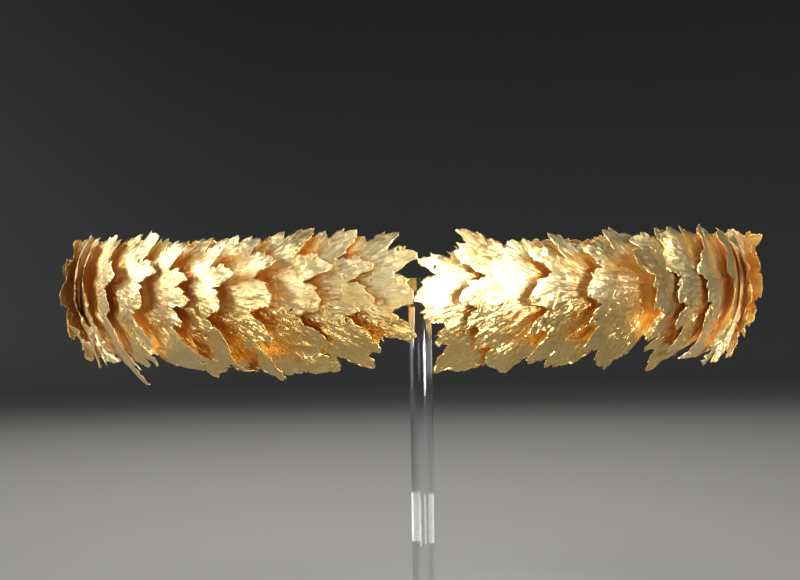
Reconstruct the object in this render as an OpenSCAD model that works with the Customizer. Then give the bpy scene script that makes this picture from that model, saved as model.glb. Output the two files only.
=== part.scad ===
// Oak leaf wreath in sheet gold, shown on a clear stand. Millimetres.
// +Z is up and the two branches meet at the front, which is -Y. The photo's right is +X.
// The origin is the middle of the stand's underside.

/* [Wreath] */

// height of the leaves' middle line above the table
wreath_height = 110; // [100:1:140]
// how far the wreath's centre stands left of the rod
wreath_offset = 2.8; // [0:0.1:4]
// outside radius of the two gold strips that carry the leaves
strip_radius = 89.7; // [89.4:0.1:89.7]
// height of a strip
strip_height = 5; // [4:0.5:5.5]
// angle from the front centre to the start of a strip
strip_start = 9; // [6:1:14]
// angle from the front centre to the end of a strip
strip_end = 168; // [160:1:172]

/* [Leaves] */

// leaves on the left branch
left_count = 20; // [14:1:20]
// leaves on the right branch
right_count = 18; // [12:1:18]
// angle between one back leaf's tip and the next
back_pitch = 8; // [7.5:0.1:8.2]
// size of a back leaf beside a front leaf
back_size = 0.88; // [0.8:0.02:0.9]
// thickness of the sheet gold
sheet = 0.35; // [0.3:0.05:0.4]
// length of a leaf from its middle tip to the end of its stalk
leaf_length = 33; // [31:1:34]
// radius of the curve that a leaf takes from its upper to its lower edge
cross_radius = 24; // [23:0.5:30]
// how far a saw tooth stands out of a lobe's edge
tooth = 1.1; // [0.4:0.1:1.4]
// how full the lobes are: 0 gives straight edges and wide notches, more gives narrow notches
fullness = 0.15; // [0:0.02:0.3]
// radius at which a leaf's stalk lies on its strip
stalk_radius = 90.8; // [90.8:0.1:91.6]

/* [Stand] */

// radius of the clear plate that the strips stand on
plate_radius = 89.8; // [89.7:0.1:90]
// thickness of the plate
plate_thickness = 3.9; // [3:0.1:6]
// diameter of the rod
rod_diameter = 6.6; // [5:0.1:10]
// how far the rod's end stands out of the plate
rod_rise = 1.9; // [1:0.1:6]
// diameter of the base
base_diameter = 116; // [100:1:150]
// thickness of the base
base_thickness = 12; // [10:1:16]
// bevel round the edges of the base
base_bevel = 1; // [0.5:0.1:2]
// depth of the hole in the base that takes the rod
socket_depth = 8; // [6:0.5:9]

/* [Hidden] */

$fn = 96;

gold = [0.84, 0.70, 0.40];
clear_plastic = [0.82, 0.86, 0.88, 0.4];

fit_gap = 0.1;
rest_gap = 0.2;
strip_thickness = 0.6;
plate_top = wreath_height + rest_gap;

// Shape of the leaf round its middle, which lies this far behind the middle tip.
leaf_middle = 20;
// Radius on which lengths along a leaf are measured.
tip_circle = 95;
// Gain in radius per millimetre towards the tip, along the whole leaf and along its front half.
rise_all = 0.12;
rise_front = 0.20;
front_half = 16;
// Beyond the middle tip the leaf bends back a little.
tip_relax = 0.10;
bend_softness = 5;
// A notch lies this share of the way from the lobe nearer the tip to the next one.
notch_lean = 0.68;
// A saw tooth and the gullet behind it lie these shares of the way along an edge.
tooth_share = 0.42;
gullet_share = 0.55;
// Back of every leaf, from the upper shoulder to the stalk: angle and reach.
stalk_angle = 158;
shoulder_up = [100, 13];
waist_up = [134, 12];
stalk_up = [stalk_angle, -(leaf_length - leaf_middle) / cos(stalk_angle)];
shoulder_low = [-98, 18];
waist_low = [-134, 12];
// The end of the stalk is hollowed by this much between its corners.
stalk_hollow = 0.6;
outer_ring = 0.72;
inner_ring = 0.45;

// Leaves that the front view shows, from the front centre outwards, measured on the leaf.
// Columns: angle of the middle tip from the front centre, extra lift of the tip, then angle
// and reach of seven lobes from the top down, then the reach of the six notches between them.
left_rows = [
    [ 0.0,  0.5, [60, 17], [41, 23], [24, 24], [ 0, 21], [-26, 24], [-48, 18], [-70, 15], [16, 18, 17, 16, 17, 14]],
    [ 5.5,  0.4, [67, 18], [46, 23], [19, 22], [-4, 21], [-32, 26], [-47, 29], [-68, 25], [16, 14, 14, 14, 25, 19]],
    [12.6,  0.1, [66, 18], [46, 24], [18, 24], [-4, 20], [-35, 25], [-50, 31], [-68, 26], [16, 15, 15, 13, 24, 25]],
    [20.5,  0.0, [66, 17], [44, 21], [22, 23], [ 0, 21], [-29, 23], [-46, 30], [-64, 27], [15, 16, 15, 14, 18, 26]],
    [28.3,  0.0, [50, 20], [30, 26], [11, 26], [-5, 19], [-36, 24], [-43, 34], [-62, 26], [16, 16, 16, 14, 24, 25]],
    [34.5,  0.2, [64, 16], [36, 22], [13, 20], [-4, 20], [-22, 18], [-43, 28], [-60, 30], [13, 12, 14, 11, 14, 25]],
    [43.5,  0.1, [66, 18], [39, 26], [17, 23], [-2, 18], [-38, 22], [-56, 24], [-74, 21], [16, 17, 16, 12, 16, 18]],
    [51.0,  0.3, [70, 17], [48, 19], [14, 21], [-10, 14], [-42, 20], [-64, 25], [-86, 28], [15, 13, 10, 11, 17, 21]],
    [60.0,  1.0, [66, 17], [42, 19], [22, 16], [-4, 16], [-36, 25], [-52, 24], [-72, 22], [16, 14, 12, 13, 20, 19]],
    [67.0,  1.4, [64, 18], [40, 20], [18, 18], [-5, 19], [-34, 24], [-52, 26], [-74, 22], [15, 14, 13, 13, 18, 19]],
    [75.0,  2.0, [62, 17], [42, 22], [20, 21], [-2, 20], [-30, 23], [-50, 26], [-72, 23], [15, 15, 14, 13, 17, 20]],
    [84.0,  2.5, [64, 18], [44, 21], [18, 22], [-3, 21], [-34, 24], [-50, 27], [-70, 24], [14, 15, 15, 14, 19, 20]],
];

right_rows = [
    [ 0.7, -0.4, [62, 14], [43, 15], [24, 21], [-2, 20], [-18, 19], [-41, 20], [-55, 27], [13, 14, 15, 18, 15, 18]],
    [ 8.0,  0.0, [58, 15], [37, 27], [24, 25], [-4, 22], [-19, 21], [-38, 22], [-57, 25], [14, 23, 15, 17, 19, 20]],
    [17.8,  0.1, [72, 12], [48, 20], [27, 23], [-5, 21], [-25, 23], [-41, 27], [-60, 25], [12, 12, 14, 15, 16, 22]],
    [27.0,  0.0, [82, 15], [56, 19], [27, 24], [ 1, 21], [-23, 21], [-38, 25], [-64, 24], [15, 13, 16, 16, 18, 21]],
    [38.0,  0.2, [54, 19], [34, 26], [16, 28], [-9, 18], [-42, 21], [-58, 22], [-78, 25], [17, 22, 19, 14, 17, 19]],
    [44.5,  0.0, [56, 19], [32, 28], [16, 29], [-8, 20], [-27, 22], [-47, 24], [-70, 25], [17, 24, 17, 14, 16, 20]],
    [51.5, -0.1, [58, 19], [35, 25], [12, 22], [-12, 16], [-30, 21], [-50, 24], [-74, 25], [16, 20, 16, 12, 18, 20]],
    [60.0,  0.8, [52, 20], [30, 28], [12, 24], [-12, 16], [-43, 21], [-57, 24], [-76, 24], [19, 21, 14, 14, 19, 20]],
    [68.0,  1.7, [58, 18], [35, 24], [14, 20], [-10, 20], [-32, 24], [-50, 26], [-72, 24], [16, 17, 16, 17, 20, 20]],
    [80.0,  2.6, [60, 18], [38, 22], [16, 22], [-6, 20], [-32, 23], [-52, 24], [-74, 22], [15, 16, 15, 14, 17, 18]],
];

function mix(a, b, t) = a + (b - a) * t;

function soft_ramp(x) = (x + sqrt(x * x + bend_softness * bend_softness)) / 2;

// Back leaves carry on at an even pitch, as lifted as the last front one, and take the
// shapes of the front rows in turn, a little smaller.
function leaf_row(rows, i) =
    i < len(rows)
        ? rows[i]
        : let (
            last = rows[len(rows) - 1],
            shape = rows[1 + (i * 3) % (len(rows) - 2)],
            tip = last[0] + (i - len(rows) + 1) * back_pitch
        )
        concat(
            [tip, last[1]],
            [for (k = [2:8]) [shape[k][0], shape[k][1] * back_size]],
            [[for (reach = shape[9]) reach * back_size]]
        );

// Thirteen points that alternate between the seven lobes and the six notches.
function lobes_and_notches(row) =
    let (notches = row[len(row) - 1])
    [
        for (k = [0:12])
            k % 2 == 0
                ? row[2 + k / 2]
                : let (
                    upper = row[2 + (k - 1) / 2][0],
                    lower = row[2 + (k + 1) / 2][0],
                    lean = k < 6 ? 1 - notch_lean : notch_lean
                )
                [mix(upper, lower, lean), notches[(k - 1) / 2]]
    ];

// A point on the bulging edge between a lobe and a notch, and how far it stands out.
function edge_point(a, b, share, out) =
    let (bulge = a[1] > b[1] ? -fullness : fullness)
    [mix(a[0], b[0], share), mix(a[1], b[1], share + bulge) + out];

// A saw tooth on the edge between two points: one point out, one point in.
function saw_tooth(a, b) = [
    edge_point(a, b, tooth_share, tooth),
    edge_point(a, b, gullet_share, -tooth / 2)
];

// Outline of a leaf as angle and reach from the leaf's middle, from the stalk over the top
// to the tip and back along the lower edge. Angle 0 points to the tip. Every flank of a lobe
// has a saw tooth but the short one beside the uppermost lobe.
function leaf_outline(row) =
    let (edge = lobes_and_notches(row))
    concat(
        [[180, leaf_length - leaf_middle - stalk_hollow], stalk_up, waist_up, shoulder_up],
        [edge[0]],
        [
            for (k = [1:len(edge) - 1])
                let (next = k < len(edge) - 1 ? edge[k + 1] : shoulder_low)
                each concat([edge[k]], saw_tooth(edge[k], next))
        ],
        [shoulder_low, waist_low, [-stalk_angle, stalk_up[1]]]
    );

// Every other outline point drawn in towards the middle, short of the notches beside it.
function inner_loop(outline, share) =
    let (n = len(outline))
    [
        for (i = [0:2:n - 1])
            [
                outline[i][0],
                share * min(outline[i][1], outline[(i + 1) % n][1], outline[(i + n - 1) % n][1])
            ]
    ];

// Radius of the sheet's middle line, by the distance behind the middle tip.
function sheet_radius(behind) =
    stalk_radius
    + rise_all * (leaf_length - behind)
    + rise_front * soft_ramp(front_half - behind)
    - tip_relax * soft_ramp(-behind);

// A point of the leaf's flat outline laid on the wreath.
function on_wreath(side, row, polar, offset) =
    let (
        behind = leaf_middle - polar[1] * cos(polar[0]),
        across = polar[1] * sin(polar[0]),
        turn = row[0] + behind / tip_circle * 180 / PI,
        bend = across / cross_radius * 180 / PI,
        lift = row[1] * (1 - behind / leaf_length),
        reach = sheet_radius(behind) + lift - cross_radius + (cross_radius + offset) * cos(bend)
    )
    [side * reach * sin(turn), -reach * cos(turn), (cross_radius + offset) * sin(bend)];

// Triangles of one face, from the outline over two inner loops to the middle point.
function face_fan(n, base, flip) =
    let (
        m = n / 2,
        q = n / 4,
        loop_a = base + n,
        loop_b = loop_a + m,
        middle = loop_b + q,
        tris = [
            for (j = [0:m - 1])
                each [
                    [base + 2 * j, base + 2 * j + 1, loop_a + j],
                    [base + 2 * j + 1, loop_a + (j + 1) % m, loop_a + j],
                    [base + 2 * j + 1, base + (2 * j + 2) % n, loop_a + (j + 1) % m]
                ],
            for (j = [0:q - 1])
                each [
                    [loop_a + 2 * j, loop_a + 2 * j + 1, loop_b + j],
                    [loop_a + 2 * j + 1, loop_b + (j + 1) % q, loop_b + j],
                    [loop_a + 2 * j + 1, loop_a + (2 * j + 2) % m, loop_b + (j + 1) % q],
                    [loop_b + j, loop_b + (j + 1) % q, middle]
                ]
        ]
    )
    [for (t = tris) flip ? [t[2], t[1], t[0]] : t];

module oak_leaf(side, row) {
    outline = leaf_outline(row);
    n = len(outline);
    loop_a = inner_loop(outline, outer_ring);
    loop_b = inner_loop(loop_a, inner_ring);
    flat = concat(outline, loop_a, loop_b, [[0, 0]]);
    count = len(flat);
    points = [
        for (offset = [sheet / 2, -sheet / 2])
            for (p = flat)
                on_wreath(side, row, p, offset)
    ];
    rim = [
        for (i = [0:n - 1])
            let (next = (i + 1) % n)
            each [[i, next, count + next], [i, count + next, count + i]]
    ];
    outer = face_fan(n, 0, true);
    inner = face_fan(n, count, false);
    faces = concat(outer, inner, rim);
    facing = side > 0 ? faces : [for (t = faces) [t[2], t[1], t[0]]];
    color(gold)
        translate([-wreath_offset, 0, wreath_height])
            polyhedron(points = points, faces = facing, convexity = 6);
}

// A plain strip along one branch, standing on the rim of the plate.
module leaf_strip(side) {
    sweep = strip_end - strip_start;
    color(gold)
        translate([-wreath_offset, 0, plate_top + rest_gap])
            rotate(side > 0 ? strip_start - 90 : -90 - strip_end)
                rotate_extrude(angle = sweep)
                    translate([strip_radius - strip_thickness, 0])
                        square([strip_thickness, strip_height]);
}

module left_strip() {
    leaf_strip(-1);
}

module right_strip() {
    leaf_strip(1);
}

// The clear disc inside the wreath, bored for the rod.
module stand_plate() {
    color(clear_plastic)
        translate([0, 0, plate_top - plate_thickness])
            difference() {
                translate([-wreath_offset, 0, 0])
                    cylinder(r = plate_radius, h = plate_thickness);
                translate([0, 0, -1])
                    cylinder(d = rod_diameter + 2 * fit_gap, h = plate_thickness + 2);
            }
}

module stand_rod() {
    foot = base_thickness - socket_depth + fit_gap;
    color(clear_plastic)
        translate([0, 0, foot])
            cylinder(d = rod_diameter, h = plate_top + rod_rise - foot);
}

module stand_base() {
    r = base_diameter / 2;
    color(clear_plastic)
        difference() {
            rotate_extrude()
                polygon([
                    [0, 0],
                    [r - base_bevel, 0],
                    [r, base_bevel],
                    [r, base_thickness - base_bevel],
                    [r - base_bevel, base_thickness],
                    [0, base_thickness]
                ]);
            translate([0, 0, base_thickness - socket_depth])
                cylinder(d = rod_diameter + 2 * fit_gap, h = socket_depth + 1);
        }
}

function leaf_name(branch, i) = str("leaf_", branch, i < 9 ? "_0" : "_", i + 1);

stand_nodes = ["stand_base", "stand_rod", "stand_plate"];
strip_nodes = ["left_strip", "right_strip"];
left_nodes = [for (i = [0:left_count - 1]) leaf_name("left", i)];
right_nodes = [for (i = [0:right_count - 1]) leaf_name("right", i)];

stand_base();
stand_rod();
stand_plate();
left_strip();
right_strip();
for (i = [0:left_count - 1])
    oak_leaf(-1, leaf_row(left_rows, i));
for (i = [0:right_count - 1])
    oak_leaf(1, leaf_row(right_rows, i));
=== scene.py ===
import math
import random

import bmesh
import bpy
from mathutils import Matrix, Vector, kdtree, noise


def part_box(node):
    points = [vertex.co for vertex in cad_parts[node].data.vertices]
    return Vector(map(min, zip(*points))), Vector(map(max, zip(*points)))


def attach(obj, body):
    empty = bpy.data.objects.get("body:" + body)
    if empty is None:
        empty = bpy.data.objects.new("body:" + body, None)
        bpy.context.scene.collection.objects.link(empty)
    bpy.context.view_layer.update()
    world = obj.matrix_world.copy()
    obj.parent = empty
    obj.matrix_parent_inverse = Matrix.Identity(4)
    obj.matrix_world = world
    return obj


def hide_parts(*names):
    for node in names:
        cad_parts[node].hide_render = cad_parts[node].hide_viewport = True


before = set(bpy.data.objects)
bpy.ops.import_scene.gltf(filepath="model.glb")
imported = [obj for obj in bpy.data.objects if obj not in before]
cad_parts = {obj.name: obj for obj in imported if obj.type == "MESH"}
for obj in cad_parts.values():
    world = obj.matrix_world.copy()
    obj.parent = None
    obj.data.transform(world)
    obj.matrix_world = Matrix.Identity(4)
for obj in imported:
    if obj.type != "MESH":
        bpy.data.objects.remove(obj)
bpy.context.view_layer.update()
mm = 0.001

# How a leaf lies on the wreath. The middle of the wreath comes from the plate's box, its height from the
# strips' lower edge.
wreath = {
    "crossRadius": 24.0 * mm,     # curve of a leaf from its upper to its lower edge
    "tipCircle": 95.0 * mm,       # lengths along a leaf are measured on this radius
    "leafLength": 33.0 * mm,
    "stalkRadius": 90.8 * mm,
    "riseAll": 0.12,              # gain in radius towards the tip, along the whole leaf
    "riseFront": 0.20,            # and along its front half
    "frontHalf": 16.0 * mm,
    "tipRelax": 0.10,             # lost again in front of the middle tip
    "softness": 5.0 * mm,         # length over which these gains set in
    "cadSheet": 0.35 * mm,
    "cadWeld": 0.002 * mm,        # corners of the CAD leaf closer than this are one
    "facesOut": 0.5,              # how squarely a face of the outer side looks outwards
    "stripToMiddle": 0.4 * mm,    # the leaves' middle line lies this far under the strips' lower edge
}

# The sheet gold of a leaf. Lengths along it run from its middle tip to the end of its stalk.
foil = {
    "thickness": 0.09 * mm,
    "facet": 2.3 * mm,            # size of the widest flats between creases
    "snap": 0.05 * mm,            # a cut this close to a corner goes through it
    "shortest": 0.2 * mm,         # edges below this are closed up
    "middle": 20.0 * mm,          # from here the lobes spread
    "rayCentre": 29.0 * mm,       # here the folds and streaks run together
    "rayLength": 40.0 * mm,       # one unit of the leaf's own map along its length
    "edgeSweep": 0.0085 / mm,     # how fast a leaf's edge falls back towards its sides
    "edgeStep": 0.4 * mm,         # between the points at which the next leaf's edge is measured
    "sharpFrom": math.radians(3), # a crease steeper than this stays a sharp line
    "noiseStep": (1.7, 3.1),      # from leaf to leaf and from branch to branch
    "noiseScale": 0.1,
    "seed": 7,
}


def smoothStep(x, low, high):
    t = max(0.0, min(1.0, (x - low) / (high - low)))
    return t * t * (3 - 2 * t)


def softRamp(x):
    return (x + math.sqrt(x * x + wreath["softness"] ** 2)) / 2


def sheetRadius(behind):
    return (wreath["stalkRadius"]
            + wreath["riseAll"] * (wreath["leafLength"] - behind)
            + wreath["riseFront"] * softRamp(wreath["frontHalf"] - behind)
            - wreath["tipRelax"] * softRamp(-behind))


plateLow, plateHigh = (Vector(c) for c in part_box("stand_plate"))
wreathMiddle = Vector((
    (plateLow.x + plateHigh.x) / 2,
    (plateLow.y + plateHigh.y) / 2,
    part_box("left_strip")[0][2] - wreath["stripToMiddle"],
))


# A point of the wreath, laid flat: length behind the tip, length across the leaf, height over it.
def unroll(point, side, tipTurn):
    p = point - wreathMiddle
    behind = (math.atan2(side * p.x, -p.y) - tipTurn) * wreath["tipCircle"]
    reach = math.hypot(p.x, p.y) - sheetRadius(behind) + wreath["crossRadius"]
    bend = math.atan2(p.z, reach)
    return Vector((behind, bend * wreath["crossRadius"], math.hypot(p.z, reach) - wreath["crossRadius"]))


# A flat point, laid back on the wreath.
def roll(flat, side, tipTurn):
    turn = tipTurn + flat.x / wreath["tipCircle"]
    bend = flat.y / wreath["crossRadius"]
    r = wreath["crossRadius"] + flat.z
    reach = sheetRadius(flat.x) - wreath["crossRadius"] + r * math.cos(bend)
    place = Vector((side * reach * math.sin(turn), -reach * math.cos(turn), r * math.sin(bend)))
    return wreathMiddle + place


# The turn of a leaf's tip round the wreath, measured from the end of its stalk.
def leafTurn(verts, side):
    turns = [math.atan2(side * (v.co.x - wreathMiddle.x), wreathMiddle.y - v.co.y) for v in verts]
    return max(turns) - wreath["leafLength"] / wreath["tipCircle"]


# The outer face of a CAD leaf, laid flat, and how far its tip is lifted.
def flatLeaf(node, side):
    bm = bmesh.new()
    bm.from_mesh(node.data)
    bmesh.ops.remove_doubles(bm, verts=bm.verts, dist=wreath["cadWeld"])
    tipTurn = leafTurn(bm.verts, side)
    for v in bm.verts:
        v.co = unroll(v.co, side, tipTurn)
    bm.normal_update()
    hidden = [f for f in bm.faces if f.normal.z * side < wreath["facesOut"]]
    bmesh.ops.delete(bm, geom=hidden, context="FACES")
    front = [v for v in bm.verts if v.co.x < wreath["frontHalf"]]
    lifts = sorted((v.co.z - wreath["cadSheet"] / 2) / (1 - v.co.x / wreath["leafLength"]) for v in front)
    for v in bm.verts:
        v.co.z = 0.0
    bmesh.ops.dissolve_faces(bm, faces=bm.faces[:], use_verts=False)
    return bm, tipTurn, lifts[len(lifts) // 2]


sawTooth = {
    "pitch": 2.8 * mm,
    "out": (0.10 * mm, 0.70 * mm),
    "in": (0.10 * mm, 0.60 * mm),
    "free": 2.5 * mm,             # the teeth grow smaller this close to a tip or a notch
    "point": 0.55,                # where a tooth's point and its gullet lie in its pitch
    "gullet": 0.85,
}


# Saw teeth along the outline, each leaning towards the outer end of its edge.
def sawTeeth(bm, rng):
    middle = Vector((foil["middle"], 0, 0))
    for edge in bm.edges[:]:
        root, tip = sorted((v.co.copy() for v in edge.verts), key=lambda place: (place - middle).length)
        along = tip - root
        count = int(along.length / sawTooth["pitch"])
        if count == 0 or min(root.x, tip.x) > foil["middle"]:
            continue
        out = Vector((along.y, -along.x, 0)).normalized()
        if out.dot((root + tip) / 2 - middle) < 0:
            out.negate()
        cut = bmesh.ops.subdivide_edges(bm, edges=[edge], cuts=2 * count)
        added = [v for v in cut["geom_inner"] if isinstance(v, bmesh.types.BMVert)]
        added.sort(key=lambda v: (v.co - root).length)
        for k, v in enumerate(added):
            isTooth = k % 2 == 0
            share = (k // 2 + sawTooth["point" if isTooth else "gullet"]) / count
            room = min(1.0, min(share, 1 - share) * along.length / sawTooth["free"])
            height = rng.uniform(*sawTooth["out"]) if isTooth else -rng.uniform(*sawTooth["in"])
            v.co = root + along * share + out * height * room


# Cut the flat outline into squares, for the widest facets.
def squareUp(bm):
    step = foil["facet"]
    for axis in (0, 1):
        low = min(v.co[axis] for v in bm.verts)
        high = max(v.co[axis] for v in bm.verts)
        normal = Vector((1 - axis, axis, 0))
        for k in range(math.ceil(low / step), math.floor(high / step) + 1):
            bmesh.ops.bisect_plane(bm, geom=bm.verts[:] + bm.edges[:] + bm.faces[:], dist=foil["snap"],
                                   plane_co=normal * (k * step), plane_no=normal)
    bmesh.ops.dissolve_degenerate(bm, dist=foil["shortest"], edges=bm.edges)


# How far a point lies behind the next leaf's tips, which stand the pitch behind this leaf's own.
def underNext(flat, pitch):
    return flat.x - foil["edgeSweep"] * flat.y ** 2 - pitch


# Creases of three sizes, each half as wide as the one before: how high they stand, how far their
# corners wander, and how deep the tears at the cut edge are.
creases = [
    {"height": 0.13 * mm, "wander": 0.70 * mm, "tear": 0.20 * mm},
    {"height": 0.075 * mm, "wander": 0.26 * mm, "tear": 0.12 * mm},
    {"height": 0.035 * mm, "wander": 0.10 * mm, "tear": 0.06 * mm},
]

# Where they are strong: most in a leaf's lower front part, least at the stalk and where it is covered.
creasing = {
    "upperHalf": 0.55,
    "lowerHalf": 0.95,            # added to the upper half's
    "lowerFrom": (-3 * mm, 9 * mm),
    "patchLeast": 0.5,
    "patchMore": 1.6,
    "patchSize": 11 * mm,
    "coveredLoss": 0.3,
    "coveredFrom": (0, 8 * mm),
    "stalkLoss": 0.8,
    "stalkFrom": (19.0 * mm, 28.0 * mm),
    "cornerRoom": 0.3,            # a corner moves no further than this share of its shortest edge
}


def creaseStrength(flat, shift, pitch):
    strength = creasing["upperHalf"] + creasing["lowerHalf"] * smoothStep(-flat.y, *creasing["lowerFrom"])
    patch = abs(noise.noise((Vector((flat.x, flat.y, 0)) + shift) / creasing["patchSize"]))
    strength *= creasing["patchLeast"] + creasing["patchMore"] * patch
    covered = smoothStep(underNext(flat, pitch), *creasing["coveredFrom"])
    strength *= 1 - creasing["coveredLoss"] * covered
    return strength * (1 - creasing["stalkLoss"] * smoothStep(flat.x, *creasing["stalkFrom"]))


# Crease the sheet size by size. The corners of each size move at random, those at the cut edge too.
def crumple(bm, rng, shift, pitch):
    for number, crease in enumerate(creases):
        if number > 0:
            bmesh.ops.subdivide_edges(bm, edges=bm.edges[:], cuts=1, use_grid_fill=True)
        moves = []
        for v in bm.verts:
            room = creasing["cornerRoom"] * min(e.calc_length() for e in v.link_edges)
            reach = min(crease["tear"] if v.is_boundary else crease["wander"], room)
            moves.append(Vector((
                rng.uniform(-reach, reach),
                rng.uniform(-reach, reach),
                rng.uniform(-1, 1) * crease["height"] * creaseStrength(v.co, shift, pitch),
            )))
        for v, move in zip(bm.verts, moves):
            v.co += move
        if number == 0:
            bmesh.ops.triangulate(bm, faces=bm.faces[:], quad_method="SHORT_EDGE")


# Direction and distance of a point from where the leaf's folds run together.
def rayOf(flat):
    x = foil["rayCentre"] - flat.x
    return math.atan2(flat.y, x), math.hypot(flat.y, x)


# Long folds that spread over the leaf with its lobes, finer ones among them, and curled lobes.
folds = {
    "height": 0.34 * mm,
    "count": 8.0,                 # per radian
    "length": 9.0 * mm,
    "finerHeight": 0.5,           # the finer folds as shares of the broad ones
    "finerCount": 2.3,
    "finerLength": 1.6,
    "finerLayer": 5,
    "spread": 90,                 # the noise is read far apart from leaf to leaf
    "curl": 2.8 * mm,             # how far a lobe's end bends in or out
    "curlWave": 12.0 * mm,
    "lobeReach": 24 * mm,
    "curlPower": 3,
}


def foldDepth(flat, shift):
    angle, reach = rayOf(flat)
    across, along = angle * folds["count"], reach / folds["length"]
    broad = Vector((across, along, 0))
    fine = Vector((across * folds["finerCount"], along * folds["finerLength"], folds["finerLayer"]))
    far = shift * folds["spread"]
    return abs(noise.noise(broad + far)) + folds["finerHeight"] * abs(noise.noise(fine + far))


# How far the sheet stands out besides its creases: a raised tip, curled lobes and long folds.
def sheetLift(flat, lift, shift, pitch, curlGain, ragged):
    out = math.hypot(flat.x - foil["middle"], flat.y) / folds["lobeReach"]
    curl = noise.noise((Vector((flat.x, flat.y, 0)) + shift) / folds["curlWave"])
    return (lift * (1 - flat.x / wreath["leafLength"])
            + curl * folds["curl"] * curlGain * out ** folds["curlPower"]
            - foldDepth(flat, shift) * folds["height"] * ragged * creaseStrength(flat, shift, pitch))


# Points along the cut edge of the leaf that lies over this one.
def edgeOver(node, side, pitch):
    bm, _, _ = flatLeaf(node, side)
    points = []
    for e in bm.edges:
        start, end = (v.co + Vector((pitch, 0, 0)) for v in e.verts)
        count = max(1, round((end - start).length / foil["edgeStep"]))
        points += [start.lerp(end, k / count) for k in range(count)]
    bm.free()
    tree = kdtree.KDTree(len(points))
    for number, point in enumerate(points):
        tree.insert(point, number)
    tree.balance()
    return tree


# Where the next leaf's shade is painted on a leaf, and where the leaf's lower front is shinier, with a
# painted darker reflection.
marks = {
    "coverWidth": 2.3 * mm,       # the painted shade reaches this far out from under the next leaf
    "openEdge": 0.25,             # its strength where that edge stands forwards of the next leaf's tips
    "edgeFrom": (-1 * mm, 4 * mm),
    "coveredFrom": (5 * mm, 8 * mm),
    "shinyFrom": (-1 * mm, 8 * mm),        # below the middle line
    "dullFrom": (math.radians(22), math.radians(52)),   # round the wreath
}


# Mark what the next leaf covers or shades, for the painted shade, and the lower half in the front, which
# is shinier and gets a painted darker reflection.
def markSheet(bm, over, pitch, tipTurn):
    cover = bm.verts.layers.float.new("cover")
    shine = bm.verts.layers.float.new("shine")
    frontal = 1 - smoothStep(tipTurn, *marks["dullFrom"])
    for v in bm.verts:
        v[shine] = frontal * smoothStep(-v.co.y, *marks["shinyFrom"])
        flat = Vector((v.co.x, v.co.y, 0))
        under = underNext(flat, pitch)
        near = 1 - smoothStep(over.find(flat)[2], 0, marks["coverWidth"]) if over else 0.0
        near *= marks["openEdge"] + (1 - marks["openEdge"]) * smoothStep(under, *marks["edgeFrom"])
        v[cover] = max(near, smoothStep(under, *marks["coveredFrom"]))


# Pinholes, where the thin gold has given way. Lengths in millimetres.
pinhole = {
    "counts": (0, 1, 2),
    "behindTip": (0, 12),
    "acrossLeaf": (-12, 14),
    "radius": (0.2, 0.45),
}


def pinholes(bm, rng):
    spots = [[rng.uniform(*pinhole[key]) * mm for key in ("behindTip", "acrossLeaf", "radius")]
             for _ in range(rng.choice(pinhole["counts"]))]
    gone = [f for f in bm.faces
            if any(math.hypot(f.calc_center_median().x - x, f.calc_center_median().y - y) < r
                   for x, y, r in spots)
            and not any(e.is_boundary for e in f.edges)]
    if gone:
        bmesh.ops.delete(bm, geom=gone, context="FACES")


# The folds' own map of the leaf: direction and distance from where they run together.
def mapRays(bm):
    rays = bm.loops.layers.uv.new("leafRays")
    for f in bm.faces:
        for corner in f.loops:
            angle, reach = rayOf(corner.vert.co)
            corner[rays].uv = (angle, reach / foil["rayLength"])


# How unevenly the leaves are set. Most of it is at the sides of the wreath, not in front or behind.
setting = {
    "lift": (0.88, 1.12),         # of the tip, as a share of the CAD leaf's
    "liftLoss": 0.35,             # the leaves at the sides lie closer
    "twist": 0.045,               # one half is lifted more than the other
    "ragged": 0.8,                # more creases and folds
    "slide": 1.3 * mm,            # along the wreath
    "curlMore": 1.1,
    "sidesFrom": (math.radians(45), math.radians(70)),
    "flatter": 0.085,             # how much less steeply a leaf stands, with its tip left in place
    "flatterFrom": (math.radians(20), math.radians(50)),
    "backFrom": (math.radians(88), math.radians(115)),
}


# Bend the creased sheet onto the wreath, each leaf set in its own way.
def setLeaf(bm, rng, lift, shift, pitch, side, tipTurn):
    before = 1 - smoothStep(tipTurn, *setting["backFrom"])
    sideways = smoothStep(tipTurn, *setting["sidesFrom"]) * before
    lift *= rng.uniform(*setting["lift"]) * (1 - setting["liftLoss"] * sideways)
    twist = rng.uniform(-1, 1) * setting["twist"] * (1 + sideways)
    ragged = 1 + setting["ragged"] * sideways
    slide = rng.uniform(-1, 1) * setting["slide"] * sideways
    flatter = setting["flatter"] * smoothStep(tipTurn, *setting["flatterFrom"]) * before
    curlGain = 1 + setting["curlMore"] * math.sin(tipTurn) ** 2
    for v in bm.verts:
        twisted = twist * v.co.y * (1 - v.co.x / wreath["leafLength"])
        v.co.z = v.co.z * ragged + twisted + flatter * v.co.x
        v.co.z += sheetLift(v.co, lift, shift, pitch, curlGain, ragged)
    for v in bm.verts:
        v.co = roll(v.co + Vector((slide, 0, 0)), side, tipTurn)


# Turn the faces outwards, keep the steep creases sharp and give the sheet its thickness.
def finishSheet(bm, name):
    bm.normal_update()
    outward = sum(f.normal.dot(f.calc_center_median() - wreathMiddle) for f in bm.faces)
    if outward < 0:
        bmesh.ops.reverse_faces(bm, faces=bm.faces[:])
        bm.normal_update()
    for f in bm.faces:
        f.smooth = True
    for e in bm.edges:
        e.smooth = e.is_boundary or e.calc_face_angle(0.0) < foil["sharpFrom"]
    mesh = bpy.data.meshes.new(name)
    bm.to_mesh(mesh)
    bm.free()
    leaf = bpy.data.objects.new(name, mesh)
    bpy.context.collection.objects.link(leaf)
    thick = leaf.modifiers.new("sheet", "SOLIDIFY")
    thick.thickness = foil["thickness"]
    thick.offset = 0.0
    return leaf


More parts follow.
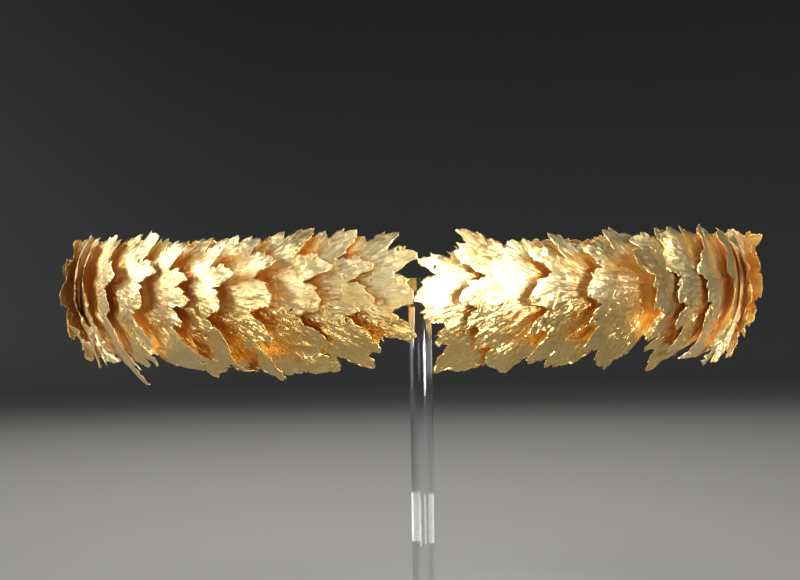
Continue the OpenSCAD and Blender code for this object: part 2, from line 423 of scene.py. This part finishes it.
def goldLeaf(node, nextNode, side, index):
    rng = random.Random(foil["seed"] * 1000 + index)
    leafStep, branchStep = foil["noiseStep"]
    shift = Vector((index * leafStep, side * branchStep, foil["seed"])) * foil["noiseScale"]
    bm, tipTurn, lift = flatLeaf(node, side)
    nextTurn = leafTurn(nextNode.data.vertices, side) if nextNode else 2 * math.pi
    pitch = (nextTurn - tipTurn) * wreath["tipCircle"]
    over = edgeOver(nextNode, side, pitch) if nextNode else None
    sawTeeth(bm, rng)
    squareUp(bm)
    crumple(bm, rng, shift, pitch)
    pinholes(bm, rng)
    mapRays(bm)
    markSheet(bm, over, pitch, tipTurn)
    setLeaf(bm, rng, lift, shift, pitch, side, tipTurn)
    return finishSheet(bm, "gold" + node.name.title().replace("_", ""))


def newMaterial(name):
    material = bpy.data.materials.new(name)
    material.use_nodes = True
    tree = material.node_tree
    shader = tree.nodes["Principled BSDF"]
    return material, tree, shader


def addNode(tree, kind, settings=None, **inputs):
    node = tree.nodes.new(kind)
    for key, value in (settings or {}).items():
        setattr(node, key, value)
    for key, value in inputs.items():
        socket = node.inputs[key.replace("_", " ")]
        if isinstance(value, bpy.types.NodeSocket):
            tree.links.new(value, socket)
        else:
            socket.default_value = value
    return node


def mapRange(tree, value, old=(0.0, 1.0), new=(0.0, 1.0)):
    node = addNode(tree, "ShaderNodeMapRange", Value=value, From_Min=old[0], From_Max=old[1],
                   To_Min=new[0], To_Max=new[1])
    return node.outputs["Result"]


def colourRamp(tree, factor, stops):
    ramp = addNode(tree, "ShaderNodeValToRGB", Fac=factor)
    while len(ramp.color_ramp.elements) < len(stops):
        ramp.color_ramp.elements.new(0.5)
    for element, (place, colour) in zip(ramp.color_ramp.elements, stops):
        element.position = place
        element.color = colour
    return ramp.outputs["Color"]


def mixColour(tree, factor, first, second):
    node = addNode(tree, "ShaderNodeMix", {"data_type": "RGBA"}, Factor=factor)
    tree.links.new(first, node.inputs[6])
    node.inputs[7].default_value = second
    return node.outputs[2]


goldColours = {
    "pale": (1.0, 0.83, 0.46, 1.0),
    "middle": (0.97, 0.74, 0.34, 1.0),
    "deep": (0.84, 0.56, 0.18, 1.0),
    "shiny": (0.86, 0.57, 0.16, 1.0),      # painted darker reflection, browner, on the shinier lower front
    "covered": (0.82, 0.40, 0.09, 1.0),    # painted shade, red-gold, under the next leaf and along its edge
    "stain": (0.34, 0.15, 0.04, 1.0),
}

# Finish of the leaves. Scales are waves to the metre, but streaks follow the leaf's own map.
leafFinish = {
    "streakScale": (60.0, 5.0, 1.0),
    "streakFrom": (0.3, 0.7),
    "cloudScale": 110.0,
    "deepAt": 0.30,
    "middleAt": 0.45,
    "paleAt": 0.66,
    "brownest": 0.7,              # share of the painted darker reflection's colour on the shinier lower front
    "coverBlur": 0.6,             # how much the clouds blur the edge of the painted shade
    "coverFrom": (0.68, 1.12),
    "speckScale": 1300.0,
    "speckFrom": (0.75, 0.79),
    "roughness": (0.36, 0.48),
    "shinyRoughness": 0.62,       # times the above where a leaf is shiny
}


def goldSheetMaterial():
    material, tree, shader = newMaterial("goldSheet")
    spot = tree.nodes.new("ShaderNodeTexCoord")
    rayMap = addNode(tree, "ShaderNodeMapping", Vector=spot.outputs["UV"], Scale=leafFinish["streakScale"])
    streaks = addNode(tree, "ShaderNodeTexNoise", Vector=rayMap.outputs["Vector"], Scale=1.0, Detail=6.0,
                      Roughness=0.62)
    cloud = addNode(tree, "ShaderNodeTexNoise", Vector=spot.outputs["Object"],
                    Scale=leafFinish["cloudScale"], Detail=6.0, Roughness=0.6)
    colour = colourRamp(tree, cloud.outputs["Fac"], [
        (leafFinish["deepAt"], goldColours["deep"]),
        (leafFinish["middleAt"], goldColours["middle"]),
        (leafFinish["paleAt"], goldColours["pale"]),
    ])
    shine = addNode(tree, "ShaderNodeAttribute", {"attribute_name": "shine"})
    # painted darker reflection: the shinier lower front is mixed towards a browner gold
    lowerShade = mapRange(tree, shine.outputs["Fac"], new=(0.0, leafFinish["brownest"]))
    toned = mixColour(tree, lowerShade, colour, goldColours["shiny"])
    # painted shade: the part that the next leaf covers, and a band along its edge, take a deeper red-gold
    mark = addNode(tree, "ShaderNodeAttribute", {"attribute_name": "cover"})
    uneven = addNode(tree, "ShaderNodeMath", {"operation": "MULTIPLY_ADD"})
    tree.links.new(cloud.outputs["Fac"], uneven.inputs[0])
    uneven.inputs[1].default_value = leafFinish["coverBlur"]
    tree.links.new(mark.outputs["Fac"], uneven.inputs[2])
    covered = mapRange(tree, uneven.outputs["Value"], leafFinish["coverFrom"])
    under = mixColour(tree, covered, toned, goldColours["covered"])
    specks = addNode(tree, "ShaderNodeTexNoise", Vector=spot.outputs["Object"],
                     Scale=leafFinish["speckScale"], Detail=2.0)
    speckMask = mapRange(tree, specks.outputs["Fac"], leafFinish["speckFrom"])
    specked = mixColour(tree, speckMask, under, goldColours["stain"])
    tree.links.new(specked, shader.inputs["Base Color"])
    shader.inputs["Metallic"].default_value = 1.0
    rough = mapRange(tree, streaks.outputs["Fac"], leafFinish["streakFrom"], leafFinish["roughness"])
    shiny = mapRange(tree, shine.outputs["Fac"], new=(1.0, leafFinish["shinyRoughness"]))
    worn = addNode(tree, "ShaderNodeMath", {"operation": "MULTIPLY"})
    tree.links.new(rough, worn.inputs[0])
    tree.links.new(shiny, worn.inputs[1])
    tree.links.new(worn.outputs["Value"], shader.inputs["Roughness"])
    tree.links.new(foilNormal(tree, spot, streaks), shader.inputs["Normal"])
    return material


# Creases too fine for the mesh: small flats, each tilted its own way, then streaks and grain.
fineCreases = {
    "flatScale": (44.0, 22.0, 1.0),
    "flatTilt": 0.40,
    "calmTilt": 0.35,             # share of that tilt in the calm patches
    "patchScale": 120.0,
    "patchFrom": (0.38, 0.62),
    "flatWarp": 0.8,
    "warpScale": 700.0,
    "streakDepth": 0.10 * mm,
    "grainDepth": 0.020 * mm,
    "grainScale": 2600.0,
}


def foilNormal(tree, spot, streaks):
    swirl = addNode(tree, "ShaderNodeTexNoise", Vector=spot.outputs["Object"],
                    Scale=fineCreases["warpScale"], Detail=2.0)
    flatMap = addNode(tree, "ShaderNodeMapping", Vector=spot.outputs["UV"], Scale=fineCreases["flatScale"])
    bent = addNode(tree, "ShaderNodeVectorMath", {"operation": "MULTIPLY_ADD"})
    tree.links.new(swirl.outputs["Color"], bent.inputs[0])
    bent.inputs[1].default_value = (fineCreases["flatWarp"],) * 3
    tree.links.new(flatMap.outputs["Vector"], bent.inputs[2])
    flats = addNode(tree, "ShaderNodeTexVoronoi", Vector=bent.outputs["Vector"], Scale=1.0)
    patches = addNode(tree, "ShaderNodeTexNoise", Vector=spot.outputs["Object"],
                      Scale=fineCreases["patchScale"], Detail=2.0)
    most = fineCreases["flatTilt"]
    tilt = mapRange(tree, patches.outputs["Fac"], fineCreases["patchFrom"],
                    (fineCreases["calmTilt"] * most, most))
    centred = addNode(tree, "ShaderNodeVectorMath", {"operation": "SUBTRACT"})
    tree.links.new(flats.outputs["Color"], centred.inputs[0])
    centred.inputs[1].default_value = (0.5, 0.5, 0.5)    # the middle of the flats' random colours
    tilted = addNode(tree, "ShaderNodeVectorMath", {"operation": "SCALE"}, Scale=tilt)
    tree.links.new(centred.outputs["Vector"], tilted.inputs[0])
    surface = tree.nodes.new("ShaderNodeNewGeometry")
    added = addNode(tree, "ShaderNodeVectorMath", {"operation": "ADD"})
    tree.links.new(tilted.outputs["Vector"], added.inputs[0])
    tree.links.new(surface.outputs["Normal"], added.inputs[1])
    unit = addNode(tree, "ShaderNodeVectorMath", {"operation": "NORMALIZE"})
    tree.links.new(added.outputs["Vector"], unit.inputs[0])
    grain = addNode(tree, "ShaderNodeTexNoise", Vector=spot.outputs["Object"],
                    Scale=fineCreases["grainScale"], Detail=3.0)
    normal = unit.outputs["Vector"]
    for depth, height in (("streakDepth", streaks.outputs["Fac"]), ("grainDepth", grain.outputs["Fac"])):
        bump = addNode(tree, "ShaderNodeBump", Strength=1.0, Distance=fineCreases[depth], Height=height,
                       Normal=normal)
        normal = bump.outputs["Normal"]
    return normal


stripFinish = {
    "cloudScale": 160.0,
    "redAt": 0.35,
    "deepAt": 0.65,
    "brushScale": (60.0, 60.0, 3000.0),    # brushed along the strip
    "brushDepth": 0.05 * mm,
    "brushStrength": 0.2,
    "roughness": (0.36, 0.52),
}


def goldStripMaterial():
    material, tree, shader = newMaterial("goldStrip")
    spot = tree.nodes.new("ShaderNodeTexCoord")
    cloud = addNode(tree, "ShaderNodeTexNoise", Vector=spot.outputs["Object"],
                    Scale=stripFinish["cloudScale"], Detail=4.0)
    # painted shade: the strip, deep in the hollows, takes the hollows' red-gold shade, mixed at random
    # with deep gold
    colour = colourRamp(tree, cloud.outputs["Fac"], [
        (stripFinish["redAt"], goldColours["covered"]),
        (stripFinish["deepAt"], goldColours["deep"]),
    ])
    tree.links.new(colour, shader.inputs["Base Color"])
    shader.inputs["Metallic"].default_value = 1.0
    brushMap = addNode(tree, "ShaderNodeMapping", Vector=spot.outputs["Object"],
                       Scale=stripFinish["brushScale"])
    brush = addNode(tree, "ShaderNodeTexNoise", Vector=brushMap.outputs["Vector"], Scale=1.0, Detail=3.0)
    rough = mapRange(tree, brush.outputs["Fac"], new=stripFinish["roughness"])
    tree.links.new(rough, shader.inputs["Roughness"])
    bump = addNode(tree, "ShaderNodeBump", Strength=stripFinish["brushStrength"],
                   Distance=stripFinish["brushDepth"], Height=brush.outputs["Fac"])
    tree.links.new(bump.outputs["Normal"], shader.inputs["Normal"])
    return material


standFinish = {
    "tint": (0.95, 0.98, 0.985, 1.0),
    "shadowTint": (0.93, 0.96, 0.96, 1.0),
    "refraction": 1.49,
    "smearScale": 45.0,
    "smearFrom": (0.4, 0.7),
    "roughness": (0.01, 0.06),
    "scratchScale": (900.0, 900.0, 60.0),
    "scratchDepth": 0.05 * mm,
    "scratchStrength": 0.06,
}


def clearMaterial():
    material, tree, shader = newMaterial("clearAcrylic")
    spot = tree.nodes.new("ShaderNodeTexCoord")
    shader.inputs["Base Color"].default_value = standFinish["tint"]
    shader.inputs["Transmission Weight"].default_value = 1.0
    shader.inputs["IOR"].default_value = standFinish["refraction"]
    smear = addNode(tree, "ShaderNodeTexNoise", Vector=spot.outputs["Object"],
                    Scale=standFinish["smearScale"], Detail=5.0)
    rough = mapRange(tree, smear.outputs["Fac"], standFinish["smearFrom"], standFinish["roughness"])
    tree.links.new(rough, shader.inputs["Roughness"])
    scratchMap = addNode(tree, "ShaderNodeMapping", Vector=spot.outputs["Object"],
                         Scale=standFinish["scratchScale"])
    scratch = addNode(tree, "ShaderNodeTexNoise", Vector=scratchMap.outputs["Vector"],
                      Scale=1.0, Detail=2.0)
    bump = addNode(tree, "ShaderNodeBump", Strength=standFinish["scratchStrength"],
                   Distance=standFinish["scratchDepth"], Height=scratch.outputs["Fac"])
    tree.links.new(bump.outputs["Normal"], shader.inputs["Normal"])
    # light goes through to what stands behind, and the acrylic throws a faint shadow only
    lightPath = tree.nodes.new("ShaderNodeLightPath")
    through = addNode(tree, "ShaderNodeBsdfTransparent", Color=standFinish["shadowTint"])
    either = addNode(tree, "ShaderNodeMixShader", Fac=lightPath.outputs["Is Shadow Ray"])
    tree.links.new(shader.outputs["BSDF"], either.inputs[1])
    tree.links.new(through.outputs["BSDF"], either.inputs[2])
    tree.links.new(either.outputs["Shader"], tree.nodes["Material Output"].inputs["Surface"])
    return material


print("leaves")
goldSheet = goldSheetMaterial()
leafNodes = sorted(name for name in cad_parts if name.startswith("leaf_"))
for index, nodeName in enumerate(leafNodes):
    side = -1 if "left" in nodeName else 1
    nextName = f"{nodeName[:-2]}{int(nodeName[-2:]) + 1:02d}"
    leaf = goldLeaf(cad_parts[nodeName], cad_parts.get(nextName), side, index)
    leaf.data.materials.append(goldSheet)
    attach(leaf, "root")
    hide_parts(nodeName)

print("strips and stand")
goldStrip = goldStripMaterial()
clearAcrylic = clearMaterial()
for nodeName in ("left_strip", "right_strip"):
    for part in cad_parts[nodeName].material_slots:
        part.material = goldStrip
for nodeName in ("stand_plate", "stand_rod", "stand_base"):
    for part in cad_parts[nodeName].material_slots:
        part.material = clearAcrylic


# A pale floor in a round room that darkens upwards.
studio = {
    "floorLevel": -0.2 * mm,
    "floorRadius": 1.3,
    "coveRadius": 0.5,
    "wallHeight": 1.9,
    "coveSteps": 14,
    "turnSteps": 96,
    "floorColour": (0.30, 0.297, 0.29, 1.0),
    "coveColour": (0.20, 0.20, 0.205, 1.0),
    "wallColour": (0.10, 0.10, 0.105, 1.0),
    "darkensFrom": 0.02,          # height
    "darkestAt": 0.75,
    "coveAt": 0.45,               # share of the way between them
    "roughness": 0.7,
}


def studioMaterial():
    material, tree, shader = newMaterial("paleStudio")
    spot = tree.nodes.new("ShaderNodeTexCoord")
    parts = addNode(tree, "ShaderNodeSeparateXYZ", Vector=spot.outputs["Object"])
    rise = mapRange(tree, parts.outputs["Z"], (studio["darkensFrom"], studio["darkestAt"]))
    colour = colourRamp(tree, rise, [
        (0.0, studio["floorColour"]),
        (studio["coveAt"], studio["coveColour"]),
        (1.0, studio["wallColour"]),
    ])
    tree.links.new(colour, shader.inputs["Base Color"])
    shader.inputs["Roughness"].default_value = studio["roughness"]
    return material


# A round tub: pale floor, cove and wall, open at the top.
def studioTub():
    bm = bmesh.new()
    floor, cove = studio["floorRadius"], studio["coveRadius"]
    profile = [bm.verts.new((0.0, 0.0, 0.0)), bm.verts.new((floor, 0.0, 0.0))]
    for k in range(1, studio["coveSteps"] + 1):
        a = math.pi / 2 * k / studio["coveSteps"]
        profile.append(bm.verts.new((floor + cove * math.sin(a), 0.0, cove * (1 - math.cos(a)))))
    profile.append(bm.verts.new((floor + cove, 0.0, studio["wallHeight"])))
    edges = [bm.edges.new(pair) for pair in zip(profile, profile[1:])]
    bmesh.ops.spin(bm, geom=profile + edges, cent=(0, 0, 0), axis=(0, 0, 1), angle=2 * math.pi,
                   steps=studio["turnSteps"], use_merge=True)
    bmesh.ops.remove_doubles(bm, verts=bm.verts, dist=0.1 * mm)
    bmesh.ops.recalc_face_normals(bm, faces=bm.faces)
    bmesh.ops.translate(bm, verts=bm.verts, vec=(0, 0, studio["floorLevel"]))
    mesh = bpy.data.meshes.new("studioTub")
    bm.to_mesh(mesh)
    bm.free()
    mesh.polygons.foreach_set("use_smooth", [True] * len(mesh.polygons))
    tub = bpy.data.objects.new("studioTub", mesh)
    bpy.context.collection.objects.link(tub)
    tub.data.materials.append(studioMaterial())
    return tub


print("studio")
studioTub()

room = {
    "lampColour": (1.0, 0.985, 0.96),
    "airColour": (0.92, 0.94, 1.0, 1.0),
    "airStrength": 0.14,
}


def softLight(name, place, size, power, spread):
    lamp = bpy.data.lights.new(name, "AREA")
    lamp.shape = "RECTANGLE"
    lamp.size, lamp.size_y = size
    lamp.energy = power
    lamp.color = room["lampColour"]
    lamp.spread = math.radians(spread)
    holder = bpy.data.objects.new(name, lamp)
    bpy.context.collection.objects.link(holder)
    holder.visible_camera = False
    holder.location = place
    holder.rotation_euler = (wreathMiddle - Vector(place)).to_track_quat("-Z", "Y").to_euler()


# Metres, watts and degrees. Every lamp faces the middle of the wreath.
lights = {
    "keyLight": {"place": (0.66, -0.85, 0.13), "size": (0.60, 0.25), "power": 0.7, "spread": 32},
    "lowLeftLight": {"place": (-0.12, -0.22, 0.005), "size": (0.10, 0.03), "power": 0.020, "spread": 90},
    "lowRightLight": {"place": (0.09, -0.24, 0.005), "size": (0.10, 0.03), "power": 0.020, "spread": 90},
    "frontLight": {"place": (-0.10, -0.85, 0.85), "size": (0.9, 0.6), "power": 0.9, "spread": 50},
    "fillLight": {"place": (-0.35, -1.05, 0.14), "size": (0.50, 0.25), "power": 0.08, "spread": 45},
    "leftLight": {"place": (-1.06, 0.26, 0.43), "size": (1.2, 0.3), "power": 1.8, "spread": 80},
    "sideLight": {"place": (-1.05, -0.25, 0.09), "size": (0.5, 0.10), "power": 0.15, "spread": 50},
    "rightLight": {"place": (0.90, -0.60, 0.58), "size": (0.6, 0.4), "power": 0.8, "spread": 80},
    "backLight": {"place": (0.0, 1.25, 0.66), "size": (0.8, 0.3), "power": 1.7, "spread": 90},
}
for name, lamp in lights.items():
    softLight(name, **lamp)

world = bpy.data.worlds.new("softRoom")
world.use_nodes = True
background = world.node_tree.nodes["Background"]
background.inputs["Color"].default_value = room["airColour"]
background.inputs["Strength"].default_value = room["airStrength"]
bpy.context.scene.world = world
bpy.context.scene.view_settings.view_transform = "Standard"

# The photograph was taken from just above the leaves' middle line, with the camera a little turned.
view = {
    "distance": 0.600,
    "rise": 11.0 * mm,
    "pitch": math.radians(1.18),
    "turn": math.radians(0.9),    # round the line of sight
    "lens": 93.96,                # in millimetres, like the sensor
    "sensor": 36.0,
    "shift": -10 / 800,           # ten of the picture's 800 pixels
    "nearest": 0.02,
}
print("camera")
camera = bpy.data.cameras.new("photoCamera")
camera.sensor_width = view["sensor"]
camera.lens = view["lens"]
camera.shift_x = view["shift"]
camera.clip_start = view["nearest"]
cameraHolder = bpy.data.objects.new("photoCamera", camera)
bpy.context.collection.objects.link(cameraHolder)
cameraHolder.matrix_world = (
    Matrix.Translation(wreathMiddle + Vector((0, -view["distance"], view["rise"])))
    @ Matrix.Rotation(math.pi / 2 - view["pitch"], 4, "X")
    @ Matrix.Rotation(-view["turn"], 4, "Z")
)
bpy.context.scene.camera = cameraHolder
